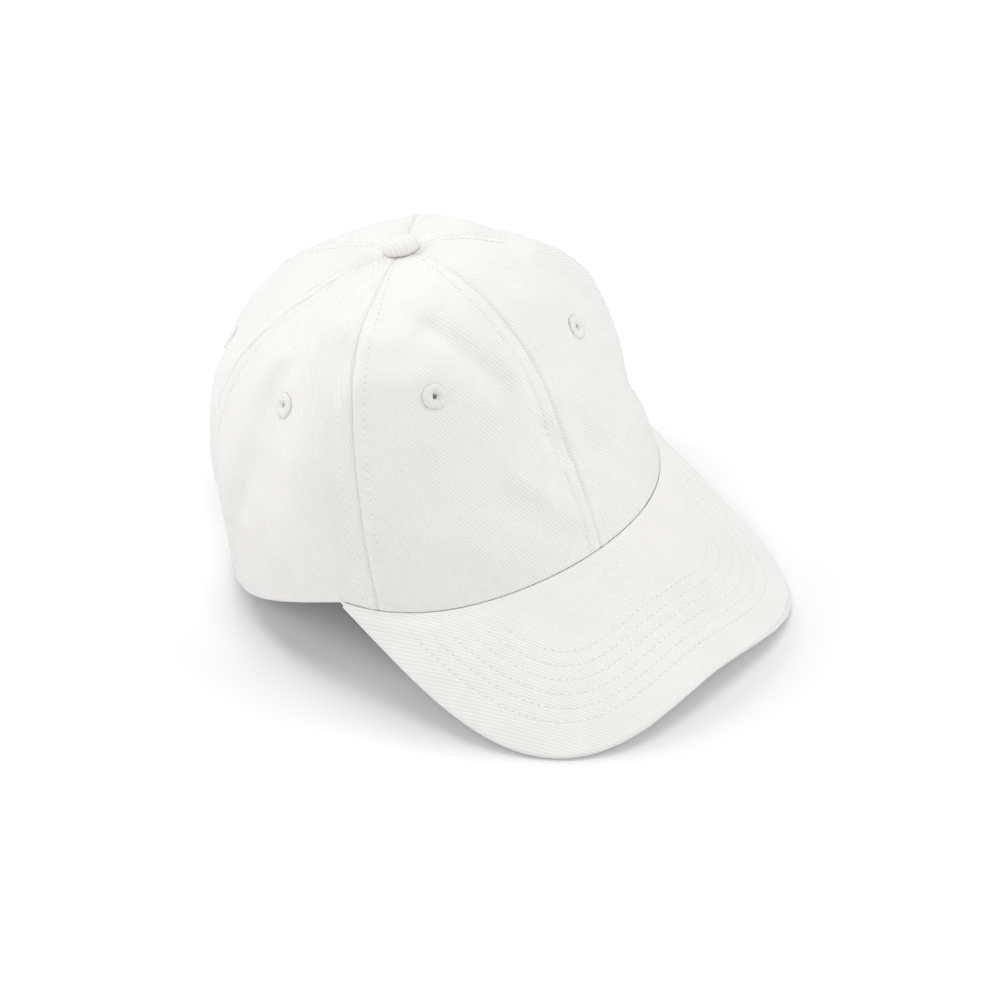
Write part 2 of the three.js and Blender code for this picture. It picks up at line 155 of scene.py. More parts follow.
def climb(th, mm):
    """The v that lies mm up the cloth from the hem."""
    th, mm = np.broadcast_arrays(wrap(th), np.asarray(mm, float))
    i = np.clip(np.floor(th - TH_GRID[0]).astype(int), 0, len(TH_GRID) - 2)
    f = th - TH_GRID[i]
    out = np.zeros(th.shape)
    flat = out.reshape(-1)
    ti, tf, tm = i.reshape(-1), f.reshape(-1), mm.reshape(-1)
    for k in np.unique(ti):
        m = ti == k
        a, b = np.interp(tm[m], ARC[k], V_GRID), np.interp(tm[m], ARC[k + 1], V_GRID)
        flat[m] = a * (1 - tf[m]) + b * tf[m]
    return flat.reshape(th.shape)


def arc_of(th, v):
    th, v = np.broadcast_arrays(wrap(th), np.asarray(v, float))
    i = np.clip(np.floor(th - TH_GRID[0]).astype(int), 0, len(TH_GRID) - 2)
    f = th - TH_GRID[i]
    q = v * 400
    j = np.clip(np.floor(q).astype(int), 0, 399)
    g = q - j
    here, there = ARC[i, j] * (1 - g) + ARC[i, j + 1] * g, ARC[i + 1, j] * (1 - g) + ARC[i + 1, j + 1] * g
    return here * (1 - f) + there * f


def per_degree(th, v):
    return np.linalg.norm(crown(th + 0.5, v) - crown(th - 0.5, v), axis=-1)


# Soft dents and folds: two ends (angle, v), width and height in millimetres.
FOLDS = [
    (184.9, .60, 134.8, .87, 30, 4.6), (66, .50, 52, .70, 15, 2.4), (80, .23, 54, .18, 22, -4.0),
    (58, .30, 46, .16, 15, -1.8), (54, .44, 50, .38, 12, .8), (112, .84, 88, .83, 13, 1.8),
    (-91, .50, -94, .35, 19, -3.1), (-127, .54, -118, .36, 19, 3.0), (-75.5, .77, -58, .71, 15, 3.0),
    (-105, .80, -149, .84, 19, -1.3), (-138, .50, -134, .30, 22, 1.6),
    (-30, .735, -13, .52, 7.5, -2.5), (-42, .72, -36, .64, 9, .9), (-20, .72, -8, .56, 8, .8),
    (-60, .60, -10, .50, 15, 1.6), (-60, .615, -40, .60, 9, 1.0), (-52, .36, -12, .33, 26, -2.2),
    (-18, .30, -4, .10, 8, 2.0), (-24, .24, -10, .08, 8, -1.0),
    (-4, .37, -2, .29, 7, -1.8), (7, .35, 9, .26, 8, -1.8), (-48, .22, -34, .14, 14, .9),
    (-93, .645, -106, .26, 7, -1.9), (-100, .66, -113, .22, 8, 2.0), (-84, .40, -80, .20, 12, .8),
    (26, .44, 38, .28, 13, -1.3), (18, .66, 30, .60, 12, .9), (30, .22, 44, .12, 10, 1.0),
    (100, .62, 118, .35, 16, -1.8), (140, .60, 132, .40, 14, 1.5), (-160, .55, -168, .42, 12, 1.2),
    (80, .76, 66, .80, 12, -1.6), (150, .78, 168, .74, 14, -1.2),
]


def segment_distance(p, a, b):
    d = b - a
    t = np.clip(((p - a) @ d) / float(d @ d), 0, 1)
    return np.linalg.norm(p - (a + t[..., None] * d), axis=-1)


# The top stands a little higher than drawn: a point (angle, v), reach and push in millimetres.
PUSHES = [(0.0, 1.0, 46, (0, -2.15, 3.47))]


def drape(th, v, p=None):
    """How far the cloth as a whole stands off its drawn shape."""
    p = crown(th, v) if p is None else p
    out = np.zeros(p.shape[:-1])
    for t0, v0, t1, v1, width, height in FOLDS:
        d = segment_distance(p, crown(t0, v0), crown(t1, v1))
        out += height * np.exp(-0.5 * (2 * d / width) ** 2 * 0.9)
    out += 0.55 * noise(p, 27) + 0.22 * noise(p, 12, 5.3)
    return out * (1 - np.exp(-(v / 0.12) ** 2)) * ease((1 - v) / 0.1)


def pushed(p, v):
    out = np.zeros(p.shape)
    for t0, v0, size, push in PUSHES:
        r = np.linalg.norm(p - crown(t0, v0), axis=-1) / size
        out = out + (np.exp(-r * r) * (1 - np.exp(-(v / 0.12) ** 2)))[..., None] * np.array(push)
    return out


def skin(th, v, lift):
    p = crown(th, v)
    n = crown_normal(th, v)
    return p + n * (drape(th, v, p) + lift)[..., None] + pushed(p, v)


def skin_normal(th, v):
    e, g = 0.004, 0.5
    v = np.clip(v, 0.004, 0.98)
    z = np.zeros(np.broadcast(th, v).shape)
    along = skin(th + g, v, z) - skin(th - g, v, z)
    rising = skin(th, v + e, z) - skin(th, np.maximum(v - e, 0), z)
    return unit(np.cross(along, rising))


# ---- Mesh builders ----
def make(name, verts, faces, mat, body="cap", uv=None, smooth=True, angle=None):
    me = bpy.data.meshes.new(name)
    verts = to_row(verts)
    faces = np.asarray(faces)
    me.vertices.add(len(verts))
    me.vertices.foreach_set("co", verts.astype(np.float32).ravel())
    n = faces.shape[1]
    me.loops.add(faces.size)
    me.loops.foreach_set("vertex_index", faces.astype(np.int32).ravel())
    me.polygons.add(len(faces))
    me.polygons.foreach_set("loop_start", np.arange(0, faces.size, n, dtype=np.int32))
    me.update(calc_edges=True)
    me.validate()
    me.polygons.foreach_set("use_smooth", np.full(len(me.polygons), smooth))
    if uv is not None:
        layer = me.uv_layers.new(name="cloth")
        index = np.zeros(len(me.loops), np.int32)
        me.loops.foreach_get("vertex_index", index)
        layer.data.foreach_set("uv", np.asarray(uv, np.float32)[index].ravel())
    me.update()
    ob = bpy.data.objects.new(name, me)
    bpy.context.scene.collection.objects.link(ob)
    me.materials.append(mat)
    if angle:
        me.set_sharp_from_angle(angle=angle * RAD)
    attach(ob, body)
    return ob


def ring_quads(n, k):
    """Quads between n rings of k points each."""
    at = np.arange(n * k).reshape(n, k)
    nxt = np.roll(at, -1, 1)
    return at, np.stack([at[:-1], nxt[:-1], nxt[1:], at[1:]], -1).reshape(-1, 4)


def looped_quads(n, k):
    """The same, with the last ring joined back to the first."""
    at = np.arange(n * k).reshape(n, k)
    nxt, up = np.roll(at, -1, 1), np.roll(at, -1, 0)
    return np.stack([at, nxt, np.roll(nxt, -1, 0), up], -1).reshape(-1, 4)


def shell(outer, inner, keep=None):
    """Closed body between two grids of points, with a wall on every edge of the kept cells."""
    a, b = outer.shape[:2]
    keep = np.ones((a - 1, b - 1), bool) if keep is None else keep
    at = np.arange(a * b).reshape(a, b)
    i, j = np.nonzero(keep)
    q = np.stack([at[i, j], at[i + 1, j], at[i + 1, j + 1], at[i, j + 1]], -1)
    off = a * b
    faces = [q, q[:, ::-1] + off]
    pad = np.zeros((a + 1, b + 1), bool)
    pad[1:-1, 1:-1] = keep
    for di, dj, e0, e1 in ((-1, 0, (0, 0), (0, 1)), (1, 0, (1, 1), (1, 0)),
                           (0, -1, (1, 0), (0, 0)), (0, 1, (0, 1), (1, 1))):
        m = ~pad[i + 1 + di, j + 1 + dj]
        s, t = at[i[m] + e0[0], j[m] + e0[1]], at[i[m] + e1[0], j[m] + e1[1]]
        faces.append(np.stack([s, t, t + off, s + off], -1))
    faces = np.concatenate(faces)
    verts = np.concatenate([outer.reshape(-1, 3), inner.reshape(-1, 3)])
    used, back = np.unique(faces, return_inverse=True)
    return verts[used], back.reshape(faces.shape), used


def tube_grid(rings):
    """Rings (n, k, 3) joined into a closed body, its ends closed by fans of quads round a middle point."""
    n, k = rings.shape[:2]
    at, faces = ring_quads(n, k)
    verts = np.concatenate([rings.reshape(-1, 3), np.stack([rings[0].mean(0), rings[-1].mean(0)])])
    extra = []
    for r, m, flip in ((0, n * k, True), (n - 1, n * k + 1, False)):
        for i in range(0, k - 1, 2):
            f = [at[r, i], at[r, i + 1], at[r, (i + 2) % k], m]
            extra.append(f[::-1] if flip else f)
    return verts, np.concatenate([faces, np.array(extra)])


def twice(uv, used):
    """A face's cloth map, given to both faces of its shell."""
    return np.concatenate([uv, uv])[used]


def merge(parts):
    verts, faces, base = [], [], 0
    for v, f in parts:
        verts.append(v)
        faces.append(np.asarray(f) + base)
        base += len(v)
    return np.concatenate(verts), np.concatenate(faces)


def resample(path, step):
    seg = np.linalg.norm(np.diff(path, axis=0), axis=1)
    s = np.concatenate([[0], np.cumsum(seg)])
    n = max(2, int(s[-1] / step))
    t = np.linspace(0, s[-1], n + 1)
    return np.stack([np.interp(t, s, path[:, k]) for k in range(path.shape[1])], -1), s[-1]


def stitch_row(path, normals, pitch=2.9, share=0.72, r=0.2, lift=0.1, seed=0, sides=6):
    """Thread stitches along a path: short capsules that dive into the cloth at both ends.
    Returns the stitches and the needle holes between them, as dark studs that paint the shade inside each hole."""
    both, _ = resample(np.concatenate([path, normals], 1), pitch)
    p, n = both[:, :3], unit(both[:, 3:])
    rng = np.random.default_rng(seed)
    a, b = p[:-1], p[1:]
    d = b - a
    t = unit(d)
    nn = unit(n[:-1] + n[1:])
    side = unit(np.cross(t, nn))
    nn = np.cross(side, t)
    wob = rng.normal(0, 0.05, (len(a), 2))
    mid = (a + b) / 2 + side * wob[:, :1]
    half = np.linalg.norm(d, axis=1) * share * 0.5 * (1 + wob[:, 1] * 0.8)
    tilt = rng.normal(0, 0.05, len(a))
    tt = unit(t + side * tilt[:, None])
    stations = [(-1, .35, -.28), (-.8, .85, .02), (-.3, 1, lift), (.3, 1, lift), (.8, .85, .02), (1, .35, -.28)]
    ring = []
    ang = np.arange(sides) * 2 * math.pi / sides
    for at, size, up in stations:
        c = mid + tt * (half * at)[:, None] + nn * up
        turned = side[:, None] * np.cos(ang)[None, :, None] * 1.1 + nn[:, None] * np.sin(ang)[None, :, None]
        ring.append(c[:, None] + r * size * turned)
    ring = np.stack(ring, 1)
    m, s, k = ring.shape[:3]
    idx, f = ring_quads(s, k)
    ends = []
    for row, flip in ((idx[0], True), (idx[-1], False)):
        for q in ([row[0], row[1], row[2], row[3]], [row[0], row[3], row[4], row[5]]):
            ends.append(q[::-1] if flip else q)
    f = np.concatenate([f, np.array(ends)])
    faces = (f[None] + (np.arange(m) * s * k)[:, None, None]).reshape(-1, 4)
    stitches = (ring.reshape(-1, 3), faces[:, ::-1])
    # Needle holes: low six-sided studs, mostly sunk in the cloth; their darker material is painted shade for the
    # inside of each hole.
    hs = unit(np.cross(n, np.roll(p, -1, 0) - p))
    ht = np.cross(hs, n)
    hole = []
    for rad, up in ((0.24, -0.25), (0.29, 0.0), (0.18, 0.05)):
        turned = hs[:, None] * np.cos(ang)[None, :, None] + ht[:, None] * np.sin(ang)[None, :, None]
        hole.append(p[:, None] + rad * turned + n[:, None] * up)
    hole = np.stack(hole, 1)
    m2, s2 = hole.shape[:2]
    idx, f2 = ring_quads(s2, sides)
    lo, hi = idx[0], idx[-1]
    f2 = np.concatenate([f2, [lo[[3, 2, 1, 0]], lo[[5, 4, 3, 0]], hi[[0, 1, 2, 3]], hi[[0, 3, 4, 5]]]])
    pierced = (f2[None] + (np.arange(m2) * s2 * sides)[:, None, None]).reshape(-1, 4)
    return stitches, (hole.reshape(-1, 3), pierced)


# ---- Materials ----
def srgb(c):
    return c / 12.92 if c <= 0.04045 else ((c + 0.055) / 1.055) ** 2.4


def node(nt, kind, **values):
    n = nt.nodes.new(kind)
    for k, v in values.items():
        if k in n.inputs:
            n.inputs[k].default_value = v
        else:
            setattr(n, k, v)
    return n


def twill(name, angle, base, pitch=1.3, depth=0.5, contrast=0.045, rough=0.9, warp=0.22, fine=True, sheen=0.12):
    """Cloth with diagonal wales at an angle in its own flat cut, from the mesh's cloth map in millimetres; the grooves
    between the wales carry painted shade.
    """
    mat = bpy.data.materials.new(name)
    mat.use_nodes = True
    nt = mat.node_tree
    bsdf = nt.nodes["Principled BSDF"]
    L = nt.links.new
    uv = node(nt, "ShaderNodeUVMap", uv_map="cloth")
    sep = node(nt, "ShaderNodeSeparateXYZ")
    L(uv.outputs[0], sep.inputs[0])
    ca, sa = math.cos(angle * RAD), math.sin(angle * RAD)

    def math_node(op, a, b=None, c=None):
        m = node(nt, "ShaderNodeMath", operation=op)
        for k, x in enumerate((a, b, c)):
            if x is None:
                continue
            if isinstance(x, (int, float)):
                m.inputs[k].default_value = x
            else:
                L(x, m.inputs[k])
        return m.outputs[0]

    bend = node(nt, "ShaderNodeTexNoise", Scale=0.09, Detail=2.0, Roughness=0.5)
    L(uv.outputs[0], bend.inputs["Vector"])
    slub = node(nt, "ShaderNodeTexNoise", Scale=0.8, Detail=3.0, Roughness=0.6)
    L(uv.outputs[0], slub.inputs["Vector"])
    across = math_node("ADD", math_node("MULTIPLY", sep.outputs[0], -sa), math_node("MULTIPLY", sep.outputs[1], ca))
    along = math_node("ADD", math_node("MULTIPLY", sep.outputs[0], ca), math_node("MULTIPLY", sep.outputs[1], sa))
    across = math_node("ADD", across, math_node("MULTIPLY", bend.outputs[0], warp * 4))
    across = math_node("ADD", across, math_node("MULTIPLY", slub.outputs[0], 0.35))
    wale = math_node("SINE", math_node("MULTIPLY", across, 2 * math.pi / pitch))
    thread = math_node("SINE", math_node("ADD", math_node("MULTIPLY", along, 2 * math.pi / (pitch * 0.62)),
                                         math_node("MULTIPLY", across, 2 * math.pi / pitch * 0.5)))
    fibre = node(nt, "ShaderNodeTexNoise", Scale=4.5, Detail=3.0, Roughness=0.65)
    L(uv.outputs[0], fibre.inputs["Vector"])
    strength = math_node("MULTIPLY_ADD", slub.outputs[0], 1.1, 0.35)
    height = math_node("MULTIPLY", wale, strength)
    if fine:
        height = math_node("MULTIPLY_ADD", thread, 0.35, height)
    height = math_node("MULTIPLY_ADD", fibre.outputs[0], 1.4, height)
    bump = node(nt, "ShaderNodeBump", Strength=depth, Distance=0.00016)
    L(height, bump.inputs["Height"])
    L(bump.outputs[0], bsdf.inputs["Normal"])
    broad = node(nt, "ShaderNodeTexNoise", Scale=0.035, Detail=2.0, Roughness=0.5)
    L(uv.outputs[0], broad.inputs["Vector"])
    # The colour follows the weave's height: the low yarn between the wales is painted darker as shade, and a broad
    # noise adds random tone.
    tone = math_node("MULTIPLY_ADD", height, 0.26, math_node("MULTIPLY", broad.outputs[0], 0.5))
    ramp = node(nt, "ShaderNodeValToRGB")
    ramp.color_ramp.elements[0].position = 0.0
    ramp.color_ramp.elements[1].position = 1.0
    lo = [srgb(max(0, b - contrast)) for b in base]
    hi = [srgb(min(1, b + contrast * 0.55)) for b in base]
    ramp.color_ramp.elements[0].color = (*lo, 1)
    ramp.color_ramp.elements[1].color = (*hi, 1)
    L(math_node("ADD", tone, 0.25), ramp.inputs[0])
    L(ramp.outputs[0], bsdf.inputs["Base Color"])
    r = node(nt, "ShaderNodeMapRange")
    r.inputs["To Min"].default_value = rough - 0.04
    r.inputs["To Max"].default_value = min(1, rough + 0.05)
    L(fibre.outputs[0], r.inputs["Value"])
    L(r.outputs[0], bsdf.inputs["Roughness"])
    bsdf.inputs["Specular IOR Level"].default_value = 0.18
    bsdf.inputs["Sheen Weight"].default_value = sheen
    bsdf.inputs["Sheen Roughness"].default_value = 0.6
    return mat


def plain(name, base, rough, scale, contrast=0.03, bump=0.2, distance=0.0001, metal=0.0, spec=0.3, worn=None):
    """Thread, satin, plastic or metal: fine noise in object space for tone, roughness and bump."""
    mat = bpy.data.materials.new(name)
    mat.use_nodes = True
    nt = mat.node_tree
    bsdf = nt.nodes["Principled BSDF"]
    L = nt.links.new
    co = node(nt, "ShaderNodeTexCoord")
    fine = node(nt, "ShaderNodeTexNoise", Scale=scale, Detail=4.0, Roughness=0.6)
    L(co.outputs["Object"], fine.inputs["Vector"])
    ramp = node(nt, "ShaderNodeValToRGB")
    ramp.color_ramp.elements[0].position = 0.3
    ramp.color_ramp.elements[1].position = 0.7
    ramp.color_ramp.elements[0].color = (*[srgb(max(0, b - contrast)) for b in base], 1)
    ramp.color_ramp.elements[1].color = (*[srgb(min(1, b + contrast)) for b in base], 1)
    L(fine.outputs[0], ramp.inputs[0])
    colour = ramp.outputs[0]
    if worn:
        broad = node(nt, "ShaderNodeTexNoise", Scale=scale * 0.12, Detail=5.0, Roughness=0.7)
        L(co.outputs["Object"], broad.inputs["Vector"])
        mask = node(nt, "ShaderNodeValToRGB")
        mask.color_ramp.elements[0].position = 0.45
        mask.color_ramp.elements[1].position = 0.62
        L(broad.outputs[0], mask.inputs[0])
        mix = node(nt, "ShaderNodeMixRGB")
        L(mask.outputs[0], mix.inputs[0])
        L(colour, mix.inputs[1])
        mix.inputs[2].default_value = (*[srgb(b) for b in worn], 1)
        colour = mix.outputs[0]
    L(colour, bsdf.inputs["Base Color"])
    r = node(nt, "ShaderNodeMapRange")
    r.inputs["To Min"].default_value = max(0.05, rough - 0.08)
    r.inputs["To Max"].default_value = min(1, rough + 0.08)
    L(fine.outputs[0], r.inputs["Value"])
    L(r.outputs[0], bsdf.inputs["Roughness"])
    b = node(nt, "ShaderNodeBump", Strength=bump, Distance=distance)
    L(fine.outputs[0], b.inputs["Height"])
    L(b.outputs[0], bsdf.inputs["Normal"])
    bsdf.inputs["Metallic"].default_value = metal
    bsdf.inputs["Specular IOR Level"].default_value = spec
    return mat


WHITE = (0.936, 0.931, 0.924)
TWILL_TURN = {"front_right": -53, "side_right": -66, "back_right": -70,
              "front_left": -46, "side_left": 40, "back_left": 45}
M_PANEL = {k: twill("twill_" + k, a, WHITE) for k, a in TWILL_TURN.items()}
M_VISOR = twill("twill_visor", -67, WHITE, pitch=1.05, warp=0.08, depth=0.40)
M_VISOR_LOW = twill("twill_visor_under", 32, WHITE)
M_BUTTON = twill("twill_button", 80, WHITE, depth=0.6)
M_BINDING = twill("twill_binding", 45, WHITE, pitch=1.1)
M_STRAP = twill("twill_strap", 50, WHITE, pitch=1.2)
M_TAPE = twill("tape_cotton", 0, (0.94, 0.938, 0.93), pitch=0.7, depth=0.35, contrast=0.03)
M_SWEAT = twill("sweatband_cotton", 48, (0.95, 0.948, 0.94), pitch=1.1, depth=0.4)
M_THREAD = plain("thread", (0.95, 0.948, 0.94), 0.75, 2600, 0.03, 0.35)
M_SATIN_THREAD = plain("satin_thread", (0.922, 0.917, 0.908), 0.6, 3000, 0.03, 0.3)
# Needle holes are studs in darker materials: the darkness is painted shade for the inside of the holes, in the stitch
# rows and round the eyelets.
M_HOLE_SHADE = plain("needle_hole_shade", (0.80, 0.795, 0.785), 0.95, 2000, 0.05, 0.2)
M_EYELET_HOLE_SHADE = plain("eyelet_hole_shade", (0.80, 0.79, 0.78), 0.95, 2000, 0.05, 0.2)
M_LABEL = plain("label_satin", (0.93, 0.93, 0.925), 0.5, 1500, 0.03, 0.3)
M_BOARD = plain("visor_plastic", (0.90, 0.90, 0.89), 0.5, 900, 0.03, 0.3)
M_BRASS = plain("antique_brass", (0.56, 0.47, 0.30), 0.38, 700, 0.07, 0.25, metal=1.0, spec=0.5,
                worn=(0.36, 0.30, 0.20))
M_STEEL = plain("zinc_steel", (0.66, 0.66, 0.65), 0.35, 900, 0.05, 0.2, metal=1.0, spec=0.5)

threads, holes = {}, {}


def add_row(group, path, normals, **kw):
    s, h = stitch_row(path, normals, **kw)
    threads.setdefault(group, []).append(s)
    holes.setdefault(group, []).append(h)


# ---- Crown panels ----
ROW_LEFT, ROW_RIGHT = 5.7, 4.8      # topstitch rows from each seam, seen from outside


def seam_profile(d, left, shrink, wave):
    """Height of the cloth at distance d from a seam; left tells which side of it."""
    row = np.where(left, ROW_LEFT, ROW_RIGHT) * shrink
    h = -0.62 * np.exp(-(d / 0.42) ** 2)
    h += 0.42 * ease((d - 0.2) / 1.4) * (1 - ease((d - row + 0.4) / 1.5))
    h -= 0.30 * np.exp(-((d - row) / 0.5) ** 2)
    h += wave * np.exp(-((d - row * 0.55) / (2.6 * shrink)) ** 2)
    return h


def seam_relief(th, v, arc, lo, hi, p):
    pd = per_degree(th, v)
    out = np.zeros(np.shape(th))
    shrink = np.clip(pd * 62 / 45, 0.35, 1)
    pucker = 0.16 * noise(np.stack([arc, th * 0.02, 0 * arc], -1), 2.3) + 0.12 * noise(p, 4.5, 2.2)
    d0, d1 = (th - lo) * pd, (hi - th) * pd
    for d, left in ((d0, False), (d1, True)):
        profile = seam_profile(np.maximum(d, 0), np.full(np.shape(th), left), shrink, pucker)
        out += profile * np.exp(-(np.maximum(d - 8, 0)) ** 2)
    # the groove closes where the hem turns under
    return out * ease((1 - v) / 0.05) * (0.3 + 0.7 * ease(arc / 1.5))


def near(spacing, width):
    base = np.array([.0, .12, .3, .55, .9, 1.4, 2.0, 2.8, 3.6, 4.3, 4.8, 5.3, 5.8, 6.3, 7.0, 8.2, 9.6, 11.0])
    n = int((width - 22) / spacing)
    return np.concatenate([base, np.linspace(11, width - 11, n + 1)[1:-1], (width - base)[::-1]]) / width


def hem_round(arc_up, size=0.7, drop=0.22):
    t = np.clip(1 - arc_up / size, 0, 1)
    return -drop * (1 - np.sqrt(np.maximum(1 - t * t, 0)))


def arch(th):
    off = np.abs(180 - np.abs(wrap(th))) / OPEN_ANGLE
    return np.where(off < 1, OPEN_HEIGHT * np.sqrt(np.maximum(1 - off * off, 0)), 0)


EYELETS = {}
for side, sign in (("right", -1), ("left", 1)):
    front = (35.7, .558) if side == "right" else (26, .53)
    for place, angle, v in (("front", *front), ("side", 90, .558), ("back", 146, .56)):
        EYELETS[place + "_" + side] = (sign * angle, v)


def top_v(th, radius):
    v = np.linspace(0.5, 1, 400)
    p = crown(np.asarray(th, float)[..., None], v)
    r = np.hypot(p[..., 0], p[..., 1] - APEX_Y)
    i = np.argmax(r < radius, -1)
    return v[i]


PANEL_EDGES = {"front": (0, 62), "side": (62, 121), "back": (121, 180)}
for place, (lo, hi) in PANEL_EDGES.items():
    for side, sign in (("right", -1), ("left", 1)):
        key = place + "_" + side
        a, b = (lo, hi) if sign > 0 else (-hi, -lo)
        width = per_degree(np.array((a + b) / 2), np.array(0.05)) * (b - a)
        us = near(1.9, float(width))
        if place == "back":
            edge = OPEN_ANGLE / (hi - lo)
            arc_us = edge * np.sin(np.linspace(0, math.pi / 2, 30))
            extra = 1 - arc_us if sign > 0 else arc_us
            us = np.unique(np.round(np.concatenate([us, extra]), 6))
            keep_us = [us[0]]
            for u in us[1:]:
                if u - keep_us[-1] > 0.0008:
                    keep_us.append(u)
            us = np.array(keep_us)
            us[-1] = 1.0
        th = a + (b - a) * us
        lowest = arch(th)
        top_arc = arc_of(th, top_v(th, 2.6))
        n = 110
        s = np.concatenate([[0, .0025, .006, .011], np.linspace(.017, 1, n)])
        arc = lowest[:, None] + (top_arc - lowest)[:, None] * s[None]
        TH = np.repeat(th[:, None], len(s), 1)
        V = climb(TH, arc)
        P0 = crown(TH, V)
        lift = seam_relief(TH, V, arc, a, b, P0) + hem_round(arc - lowest[:, None])
        # each eyelet pulls the cloth in a little round its ring
        c = crown(*EYELETS[key])
        gap = np.linalg.norm(P0 - c, axis=-1)
        lift = lift - 0.36 * np.exp(-((gap - 5.3) / 1.2) ** 2)
        outer = skin(TH, V, lift)
        under = skin(TH, V, -PANEL + 0.12 * noise(P0, 6, 9.1))
        keep = np.minimum(gap[:-1, :-1], gap[1:, 1:]) > 1.5
        verts, faces, used = shell(outer, under, keep)
        U = (TH - (a + b) / 2) * per_degree(TH, V)
        uv = np.stack([U, arc], -1).reshape(-1, 2)
        uv = twice(uv, used)
        ob = make("panel_" + key, verts, faces, M_PANEL[key], uv=uv)
        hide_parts("crown_panel_" + key)
        flat_w, flat_h = float(width) * 0.001, float(top_arc.max()) * 0.001
        ob["flat"] = [flat_w, flat_h]

# Topstitch rows along both sides of each seam.
def panel_lift_at(th, v, d, left):
    pd = per_degree(th, v)
    shrink = np.clip(pd * 62 / 45, 0.35, 1)
    return seam_profile(np.abs(d), np.full(np.shape(th), left), shrink, 0 * d) * ease((1 - v) / 0.05)


for n_seam, seam in enumerate((0, 62, 121, 180, -121, -62)):
    start = 1.2 if seam != 180 else OPEN_HEIGHT + 6.5
    top = float(arc_of(seam, top_v(np.array(float(seam)), 8.5)))
    arc = np.linspace(start, top, 240)
    for left, off in ((True, ROW_LEFT), (False, ROW_RIGHT)):
        v = climb(np.full(240, float(seam)), arc)
        pd = per_degree(np.full(240, float(seam)), v)
        shrink = np.clip(pd * 62 / 45, 0.35, 1)
        d = off * shrink
        th = seam + (-d if left else d) / pd
        v = climb(th, arc)
        lift = panel_lift_at(th, v, d, left)
        add_row("crown", skin(th, v, lift), skin_normal(th, v), seed=n_seam * 2 + left, pitch=2.9)

# ---- Eyelets: satin-stitched rings through the cloth ----
def eyelet(name, th, v, seed):
    rng = np.random.default_rng(seed)
    th, v = np.array(float(th)), np.array(float(v))
    n = skin_normal(th, v)
    p = skin(th, v, np.zeros(())) 
    e1 = unit(np.cross(np.array([0, 0, 1.0]), n))
    e2 = np.cross(n, e1)
    threads_n = 46
    a = np.linspace(0, 2 * math.pi, threads_n * 6, endpoint=False)
    t = (a * threads_n / (2 * math.pi)) % 1
    which = (a * threads_n / (2 * math.pi)).astype(int)
    round_t = np.sqrt(np.maximum(1 - (2 * t - 1) ** 2, 0))
    long = rng.normal(0, 0.17, threads_n)[which]
    high = rng.normal(0, 0.05, threads_n)[which]
    r_out, r_in = 5.1 + long, 0.95 + rng.normal(0, 0.05, threads_n)[which]
    low = -PANEL - 0.5
    prof = [(0.0, low + .5, 0), (.16, low + .05, -1), (.5, low - .12, -1), (.84, low + .05, -1), (1.0, low + .6, 0),
            (1.0, -.45, 0), (.97, .12, .6), (.84, .50, 1), (.58, .74, 1), (.32, .62, 1), (.12, .25, .7), (0, -.45, 0)]
    rings = []
    for f, h, ridge in prof:
        r = r_in + (r_out - r_in) * f
        z = h + ridge * (0.17 * (round_t - 0.6) + high)
        q = p + e1 * (r * np.cos(a))[:, None] + e2 * (r * np.sin(a))[:, None] + n * z[:, None]
        rings.append(q)
    rings = np.stack(rings)
    faces = looped_quads(*rings.shape[:2])
    ob = make("eyelet_ring_" + name, rings.reshape(-1, 3), faces, M_SATIN_THREAD)
    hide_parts("eyelet_" + name)
    # the row of needle holes round its outer edge, a darker band of painted shade
    edge = ((r_out - .25, -.62), (r_out + .02 + .12 * round_t, -.6), (r_out + .02 + .14 * round_t, -.22),
            (r_out - .2, -.1))
    dots = np.stack([p + e1 * (r * np.cos(a))[:, None] + e2 * (r * np.sin(a))[:, None] + n * h for r, h in edge])
    pierced.append((dots.reshape(-1, 3), looped_quads(4, len(a))))


pierced = []
for i, (key, (th, v)) in enumerate(EYELETS.items()):
    eyelet(key, th, v, 70 + i)
verts, faces = merge(pierced)
# the holes round every eyelet, drawn in a darker material as painted shade
make("needle_holes_eyelets", verts, faces, M_EYELET_HOLE_SHADE)

